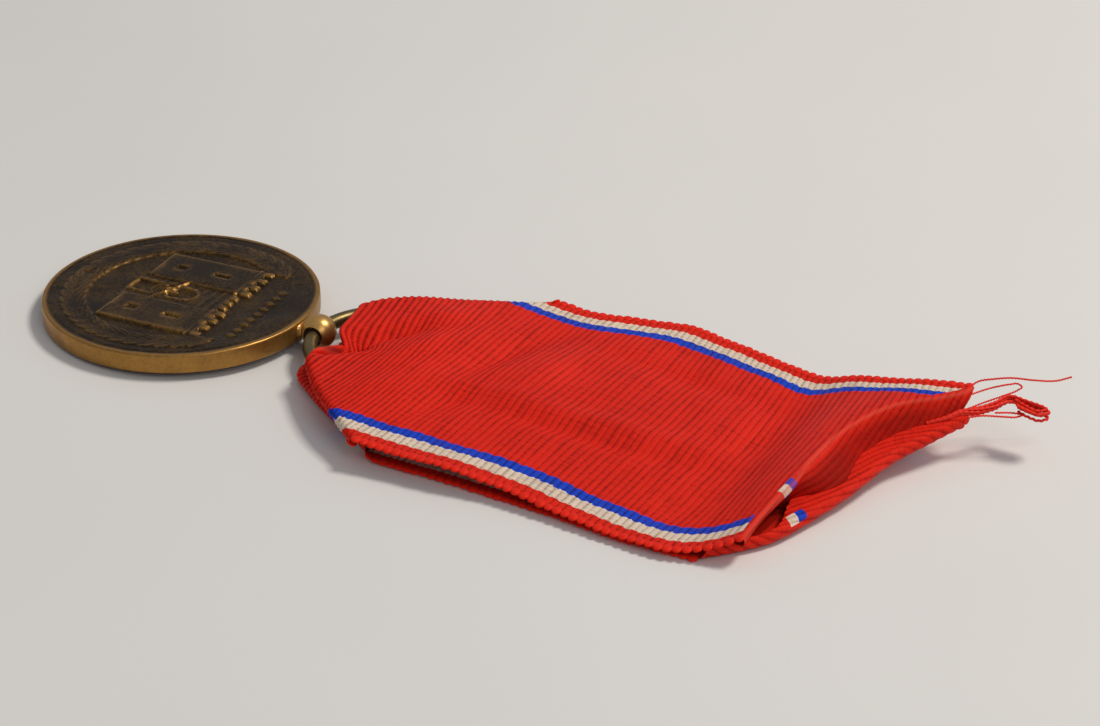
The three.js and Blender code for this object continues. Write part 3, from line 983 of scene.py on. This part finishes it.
def makeSilk(look, name="ribbed silk", striped=True):
    material, tree, surface = newMaterial(name)
    place = tree.nodes.new("ShaderNodeTexCoord").outputs["Object"]
    rib = addNode(tree, "ShaderNodeAttribute", attribute_name="rib").outputs["Fac"]
    side = addNode(tree, "ShaderNodeAttribute", attribute_name="side").outputs["Fac"]
    crush = addNode(tree, "ShaderNodeAttribute", attribute_name="crush").outputs["Fac"]
    weave = addNode(tree, "ShaderNodeGroup", node_tree=silkWeave)
    contrast = calc(tree, "ADD", calc(tree, "MULTIPLY", crush, look["crushContrast"]), look["contrast"])
    tree.links.new(contrast, weave.inputs["Contrast"])
    tree.links.new(rib, weave.inputs["Rib"])
    tree.links.new(side, weave.inputs["Side"])
    cloud = addNode(tree, "ShaderNodeTexNoise", {"Vector": place, "Scale": 120.0, "Detail": 4.0}).outputs[0]
    # ridges paler and grooves darker: painted shade between the ribs, with random streaks and lint over it
    streak = calc(tree, "MULTIPLY", calc(tree, "SUBTRACT", weave.outputs["Streak"], 0.5), 2.2)
    speck = calc(tree, "MULTIPLY", calc(tree, "SUBTRACT", weave.outputs["Lint"], 0.5), 0.9)
    ridge = calc(tree, "ADD", calc(tree, "MULTIPLY", weave.outputs["Ridge"], 0.95), 0.1)
    shade = calc(tree, "ADD", ridge, calc(tree, "ADD", streak, speck))
    shade = addNode(tree, "ShaderNodeClamp", {"Value": shade}).outputs[0]
    colour = mixColour(tree, shade, look["groundShadeAndStreak"], look["ground"])
    if striped:
        hem = addNode(tree, "ShaderNodeAttribute", attribute_name="hem").outputs["Fac"]
        askew = addNode(tree, "ShaderNodeAttribute", attribute_name="askew").outputs["Fac"]
        begun, ended = calc(tree, "GREATER_THAN", hem, 0.0), calc(tree, "LESS_THAN", hem, 1.0)
        inHem = calc(tree, "MULTIPLY", begun, ended)
        side = calc(tree, "ADD", side, calc(tree, "MULTIPLY", inHem, askew))
        # every second rib carries a stripe a little further, so its edge is stepped
        parity = calc(tree, "SIGN", calc(tree, "SINE", calc(tree, "MULTIPLY", rib, math.pi)))
        wander = calc(tree, "MULTIPLY", calc(tree, "SUBTRACT", weave.outputs["Lint"], 0.5), 0.25)
        reach = calc(tree, "ADD", calc(tree, "MULTIPLY", parity, 0.05), wander)
        reach = calc(tree, "ADD", calc(tree, "ABSOLUTE", side), reach)
        blue = mixColour(tree, shade, look["blueShadeAndStreak"], look["blue"])
        white = mixColour(tree, shade, look["whiteShadeAndStreak"], look["white"])
        for start, stripe in (("blueFrom", blue), ("whiteFrom", white), ("redFrom", colour)):
            colour = mixColour(tree, calc(tree, "GREATER_THAN", reach, look[start]), colour, stripe)
    # faded patches of darker red, at random
    patch = calc(tree, "MULTIPLY", calc(tree, "SUBTRACT", cloud, 0.45), 0.3)
    colour = mixColour(tree, patch, colour, look["fadedRedAndShade"])
    if striped:
        # painted shade on the cloth beyond the crease of the front end and inside the bend
        turned = addNode(tree, "ShaderNodeAttribute", attribute_name="turned").outputs["Fac"]
        inside = addNode(tree, "ShaderNodeClamp", {"Value": calc(tree, "SUBTRACT", turned, 0.3)}).outputs[0]
        inside = calc(tree, "MULTIPLY", inside, calc(tree, "ADD", cloud, look["turnedShade"]))
        colour = mixColour(tree, inside, colour, look["fadedRedAndShade"])
        # a painted highlight along the crease, standing also for worn thread ends
        crease = calc(tree, "SUBTRACT", 1.0, calc(tree, "MULTIPLY", calc(tree, "ABSOLUTE", turned), 3.2))
        crease = addNode(tree, "ShaderNodeClamp", {"Value": crease}).outputs[0]
        colour = mixColour(tree, calc(tree, "MULTIPLY", crease, look["creaseHighlightShare"]), colour, look["worn"])
    tree.links.new(colour, surface.inputs["Base Color"])
    rough = calc(tree, "SUBTRACT", 0.68, calc(tree, "MULTIPLY", weave.outputs["Ridge"], 0.22))
    tree.links.new(rough, surface.inputs["Roughness"])
    surface.inputs["Specular IOR Level"].default_value = 0.2
    surface.inputs["Specular Tint"].default_value = look["gloss"]
    bump = addNode(
        tree, "ShaderNodeBump", {"Height": weave.outputs["Height"], "Strength": 0.7, "Distance": 0.035 * mm}
    )
    tree.links.new(bump.outputs[0], surface.inputs["Normal"])
    return material


def newTree(name, inputs):
    tree = bpy.data.node_groups.new(name, "GeometryNodeTree")
    tree.interface.new_socket("Geometry", in_out="INPUT", socket_type="NodeSocketGeometry")
    for key, kind in inputs.items():
        tree.interface.new_socket(key, in_out="INPUT", socket_type=kind)
    tree.interface.new_socket("Geometry", in_out="OUTPUT", socket_type="NodeSocketGeometry")
    return tree, tree.nodes.new("NodeGroupInput").outputs


def endTree(tree, geometry, material):
    real = addNode(tree, "GeometryNodeRealizeInstances", {"Geometry": geometry})
    painted = addNode(tree, "GeometryNodeSetMaterial", {"Geometry": real.outputs[0], "Material": material})
    end = tree.nodes.new("NodeGroupOutput")
    tree.links.new(painted.outputs[0], end.inputs[0])


def useTree(piece, tree, settings):
    modifier = piece.modifiers.new(tree.name, "NODES")
    modifier.node_group = tree
    for item in tree.interface.items_tree:
        if item.item_type == "SOCKET" and item.in_out == "INPUT" and item.name in settings:
            modifier[item.identifier] = settings[item.name]
    return bakeModifiers(piece)


def makeRibTree():
    tree, given = newTree(
        "woven ribs",
        {
            "Rib Height": "NodeSocketFloat", "Sharpness": "NodeSocketFloat", "Crush": "NodeSocketFloat",
            "Silk": "NodeSocketMaterial",
        },
    )
    rib = addNode(tree, "GeometryNodeInputNamedAttribute", {"Name": "rib"}, data_type="FLOAT")
    wave = calc(tree, "ABSOLUTE", calc(tree, "COSINE", calc(tree, "MULTIPLY", rib.outputs[0], math.pi)))
    wave = calc(tree, "POWER", wave, given["Sharpness"])
    crush = addNode(tree, "GeometryNodeInputNamedAttribute", {"Name": "crush"}, data_type="FLOAT")
    squeezed = calc(tree, "ADD", calc(tree, "MULTIPLY", crush.outputs[0], given["Crush"]), 1.0)
    lift = calc(tree, "MULTIPLY", calc(tree, "MULTIPLY", wave, given["Rib Height"]), squeezed)
    normal = tree.nodes.new("GeometryNodeInputNormal")
    offset = addNode(
        tree, "ShaderNodeVectorMath", {"Vector": normal.outputs[0], "Scale": lift}, operation="SCALE"
    )
    moved = addNode(tree, "GeometryNodeSetPosition", {"Geometry": given[0], "Offset": offset.outputs[0]})
    endTree(tree, moved.outputs[0], given["Silk"])
    return tree


def makeLoopTree():
    # the weft turns back at the edge and leaves a small rounded loop
    tree, given = newTree(
        "selvedge loops",
        {
            "Reach": "NodeSocketFloat", "Half Length": "NodeSocketFloat", "Half Thickness": "NodeSocketFloat",
            "Variation": "NodeSocketFloat", "Seed": "NodeSocketInt", "Silk": "NodeSocketMaterial",
        },
    )
    ball = addNode(tree, "GeometryNodeMeshUVSphere", {"Segments": 14, "Rings": 8, "Radius": 1.0})
    size = addNode(
        tree, "ShaderNodeCombineXYZ",
        {"X": given["Reach"], "Y": given["Half Length"], "Z": given["Half Thickness"]},
    )
    tab = addNode(tree, "GeometryNodeTransform", {"Geometry": ball.outputs[0], "Scale": size.outputs[0]})
    smooth = addNode(tree, "GeometryNodeSetShadeSmooth", {"Geometry": tab.outputs[0]})
    outward = addNode(tree, "GeometryNodeInputNamedAttribute", {"Name": "outward"}, data_type="FLOAT_VECTOR")
    edgeway = addNode(tree, "GeometryNodeInputNamedAttribute", {"Name": "edgeway"}, data_type="FLOAT_VECTOR")
    turnOut = addNode(tree, "FunctionNodeAlignRotationToVector", {"Vector": outward.outputs[0]}, axis="X")
    turnOn = addNode(
        tree, "FunctionNodeAlignRotationToVector",
        {"Rotation": turnOut.outputs[0], "Vector": edgeway.outputs[0]}, axis="Y", pivot_axis="X",
    )
    random = addNode(tree, "FunctionNodeRandomValue", data_type="FLOAT")
    tree.links.new(calc(tree, "SUBTRACT", 1.0, given["Variation"]), random.inputs[2])
    tree.links.new(calc(tree, "ADD", 1.0, given["Variation"]), random.inputs[3])
    tree.links.new(given["Seed"], random.inputs["Seed"])
    placed = addNode(
        tree, "GeometryNodeInstanceOnPoints",
        {
            "Points": given[0], "Instance": smooth.outputs[0], "Rotation": turnOn.outputs[0],
            "Scale": random.outputs[1],
        },
    )
    endTree(tree, placed.outputs[0], given["Silk"])
    return tree


def makeThreadTree():
    # a thread of a few plies, twisted along its path
    tree, given = newTree(
        "twisted thread",
        {
            "Plies": "NodeSocketInt", "Thread Radius": "NodeSocketFloat", "Twist Length": "NodeSocketFloat",
            "Silk": "NodeSocketMaterial",
        },
    )
    path = addNode(tree, "GeometryNodeMeshToCurve", {"Mesh": given[0]})
    along = tree.nodes.new("GeometryNodeSplineParameter").outputs["Length"]
    turn = calc(tree, "DIVIDE", calc(tree, "MULTIPLY", along, 2 * math.pi), given["Twist Length"])
    twisted = addNode(tree, "GeometryNodeSetCurveTilt", {"Curve": path.outputs[0], "Tilt": turn})
    between = calc(tree, "MULTIPLY", given["Thread Radius"], 0.62)
    star = addNode(
        tree, "GeometryNodeCurveStar",
        {"Points": given["Plies"], "Inner Radius": between, "Outer Radius": given["Thread Radius"]},
    )
    mesh = addNode(
        tree, "GeometryNodeCurveToMesh",
        {"Curve": twisted.outputs[0], "Profile Curve": star.outputs[0], "Fill Caps": True},
    )
    endTree(tree, mesh.outputs[0], given["Silk"])
    return tree


def hemValues(shape, row, side, past):
    # the turned-in ends lie askew, so their stripes don't meet those of the leaves: where hem is
    # between 0 and 1 the stripes are moved by askew. Turned is how far the cloth is past the
    # crease of the front end, or into the bend; the silk is given painted shade where it is large
    # and a painted highlight along the crease
    front, back = leafShapes["front"], leafShapes["back"]
    start, long = shape["hemStart"], shape["hemLong"]
    onFront, nearSide, farSide = row > 0, side < shape["hemNear"], side > 0
    hem = np.where(onFront, (past + start) / shape["frontBand"], (past - start) / shape["hemBand"])
    hem = np.where(~onFront & nearSide, (past + shape["hemEarly"]) / long, hem)
    hem = np.where((row < 0) & farSide, (past + 2 * start) / long, hem)
    askew = np.where(onFront, front["hemShift"], back["hemShift"])
    askew = np.where((row < 0) & farSide, -side / 2, askew)
    turned = np.maximum(np.where(onFront, past, shape["lit"]), shape["bendShade"] - np.abs(row) / 2)
    return dict(hem=hem, askew=askew, turned=turned)


def makeRibbon(shape):
    last = shape["ribs"]
    rows = np.linspace(-last, last, 2 * last * shape["samples"] + 1)
    sides = np.linspace(-shape["body"], shape["body"], shape["columns"])
    row, side = [part.ravel() for part in np.meshgrid(rows, sides, indexing="ij")]
    points, past, spare = ribbonPlace(row, side)
    faces = gridFaces(len(rows), len(sides))
    faces = faces[(spare[faces] == 0).any(axis=1)]
    used, faces = np.unique(faces, return_inverse=True)
    values = hemValues(shape, row, side, past)
    values.update(rib=row, side=side, crush=np.exp(-((row / shape["crushRibs"]) ** 2)))
    values = {key: value[used] for key, value in values.items()}
    piece = makePiece("ribbon_strip", points[used], faces.reshape(-1, 4), values=values)
    settings = {
        "Rib Height": shape["ribHeight"] * mm, "Sharpness": 0.8, "Crush": 0.9, "Silk": makeSilk(stripeLook),
    }
    return useTree(piece, makeRibTree(), settings)


def makeSelvedge(shape):
    rows = np.arange(-shape["ribs"], shape["ribs"] + 1, shape["loopRibs"])
    inward, onward = shape["loopProbe"]
    points, outward, edgeway = [], [], []
    for end in (-1, 1):
        edge = np.full(len(rows), end * shape["body"])
        here, past, spare = ribbonPlace(rows, edge)
        out = here - ribbonPlace(rows, edge - end * inward)[0]
        on = ribbonPlace(rows + onward, edge)[0] - ribbonPlace(rows - onward, edge)[0]
        size = np.linalg.norm(out, axis=1)
        keep = (spare == 0) & (np.abs(out[:, 2]) < shape["loopSteep"] * size)
        if end < 0:
            keep &= past < shape["loopStop"]
        out /= size[:, None]
        points.append((here + out * shape["loopOut"])[keep])
        outward.append(out[keep])
        edgeway.append((on / np.linalg.norm(on, axis=1)[:, None])[keep])
    piece = makePiece(
        "selvedge_loops", np.concatenate(points), [],
        values={"outward": np.concatenate(outward), "edgeway": np.concatenate(edgeway)},
    )
    settings = {
        "Reach": 0.5 * mm, "Half Length": 0.47 * mm, "Half Thickness": 0.19 * mm, "Variation": 0.1, "Seed": 3,
        "Silk": makeSilk(stripeLook, "selvedge silk", striped=False),
    }
    return useTree(piece, makeLoopTree(), settings)


ribbon = makeRibbon(ribbonShape)
print("ribbon:", len(ribbon.data.polygons), "faces")
selvedge = makeSelvedge(ribbonShape)
print("selvedge loops:", len(selvedge.data.polygons), "faces")


# Loose threads. Their points are in millimetres from the middle of the disc, and start at the
# far corner of the cut end.

threadPaths = dict(
    long_thread=dict(
        replaces="long_loose_thread", plies=3, radius=0.11, twist=0.9,
        route=(
            (74.6, 11.8, 5.3), (75.4, 12.9, 5.6), (76.2, 14, 6), (77.3, 14.6, 6.2), (78.7, 15.4, 6.3),
            (80.7, 16.2, 6.2), (82.5, 17.5, 6), (83.6, 18.5, 6.2),
        ),
    ),
    hairpin_end=dict(
        replaces="hairpin_thread", plies=3, radius=0.11, twist=0.9,
        route=(
            (75.2, 11.2, 5.2), (75.9, 12.3, 5.3), (77.5, 14.6, 5.4), (78.7, 15.9, 5.4), (79.2, 16.3, 5.4),
            (79.7, 16.1, 5.3), (79.5, 15.5, 5.2), (78.5, 14.1, 5), (77, 12, 4.8), (75.8, 10.1, 4.6),
        ),
    ),
    frayed_end=dict(
        replaces="frayed_bundle", plies=3, radius=0.16, twist=1.6, strands=9, spread=0.3,
        route=(
            (73.2, 8.2, 3.6), (74.8, 9.2, 4.1), (75.6, 10.1, 4.35), (77.2, 11.4, 4.4), (78.2, 12.6, 4.5),
            (79.3, 14.2, 4.7), (80.7, 14.2, 4.6), (82.9, 13.7, 4.4), (82.3, 13.2, 4.3), (81.3, 13.2, 4.4),
            (80.1, 13.6, 4.5),
        ),
    ),
    low_thread=dict(
        replaces="low_loose_thread", plies=3, radius=0.11, twist=0.9,
        route=(
            (76.4, 10.2, 4.1), (77.4, 10.9, 4.2), (79.2, 11.9, 4.1), (80.4, 12.5, 4.1), (80.7, 13.1, 4.1),
            (80.2, 13.1, 4.1), (78.4, 12.1, 4.2),
        ),
    ),
)


def makeThreads(name, thread, material, seed):
    # one twisted thread, or a bundle whose strands wander apart along it
    rng = np.random.default_rng(seed)
    strands, steps = thread.get("strands", 1), 90
    points, edges = [], []
    for strand in range(strands):
        route = curvePoints(thread["route"], steps)
        if strands > 1:
            share = np.linspace(0, 1, steps)[:, None]
            turn = 2 * math.pi * strand / strands + 5 * share
            wander = rng.normal(0, 1, 3) * share**2 * thread["spread"] * 1.3
            circle = np.concatenate([0 * turn, np.cos(turn), np.sin(turn)], axis=1)
            spread = thread["spread"] * (1 - 0.35 * share) * (0.3 + 0.7 * ease(share, 0, 0.3))
            route = route + circle * spread + wander
        points.append(route + home)
        edges += [(strand * steps + i, strand * steps + i + 1) for i in range(steps - 1)]
    piece = makePiece(name, np.concatenate(points), [], edges=edges)
    settings = {
        "Plies": thread["plies"], "Thread Radius": thread["radius"] * mm,
        "Twist Length": thread["twist"] * mm, "Silk": material,
    }
    return useTree(piece, threadTree, settings)


def makeThreadSilk():
    material, tree, surface = newMaterial("loose silk thread")
    place = tree.nodes.new("ShaderNodeTexCoord").outputs["Object"]
    lint = addNode(tree, "ShaderNodeTexNoise", {"Vector": place, "Scale": 3000.0, "Detail": 3.0}).outputs[0]
    colour = mixColour(tree, lint, hexColour(236, 26, 14), hexColour(255, 66, 44))
    tree.links.new(colour, surface.inputs["Base Color"])
    tree.links.new(calc(tree, "ADD", calc(tree, "MULTIPLY", lint, 0.3), 0.4), surface.inputs["Roughness"])
    surface.inputs["Specular IOR Level"].default_value = 0.25
    bump = addNode(tree, "ShaderNodeBump", {"Height": lint, "Strength": 0.4, "Distance": 0.02 * mm})
    tree.links.new(bump.outputs[0], surface.inputs["Normal"])
    return material


threadTree = makeThreadTree()
threadSilk = makeThreadSilk()
for number, (name, thread) in enumerate(threadPaths.items()):
    piece = makeThreads(name, thread, threadSilk, number)
    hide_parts(thread["replaces"])
    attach(piece, "ribbon")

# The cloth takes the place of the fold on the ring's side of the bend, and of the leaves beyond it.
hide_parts("ribbon_fold", "ribbon_back_leaf", "back_hem", "front_hem", "ribbon_front_leaf")
for piece in (ribbon, selvedge):
    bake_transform(piece)
